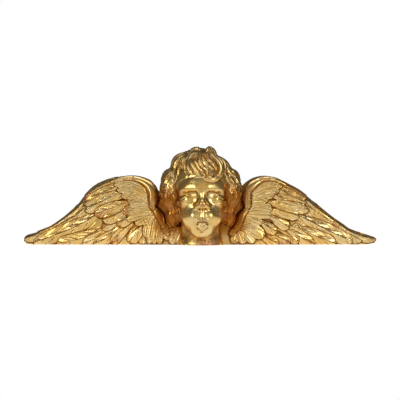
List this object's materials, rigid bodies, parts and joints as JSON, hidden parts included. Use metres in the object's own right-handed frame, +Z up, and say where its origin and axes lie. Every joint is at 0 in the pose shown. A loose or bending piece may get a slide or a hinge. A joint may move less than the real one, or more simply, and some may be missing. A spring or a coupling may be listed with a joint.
{
  "type": "winged cherub head",
  "caption": "Carved and gilded ornament of a child's head with curling hair between two spread feathered wings, flat underneath and behind.",
  "frame": {"origin": "middle of the bounding box in plan, on the flat underside", "axes": "+X to the viewer's right along the wings, +Y into the flat back, +Z up"},
  "size_m": [0.5974, 0.1026, 0.1655],
  "materials": {
    "gilding": "burnished gold leaf over red bole on carved wood, rubbed through on the high points"
  },
  "bodies": {
    "root": {"winged_cherub_head": "gilding"}
  },
  "joints": []
}
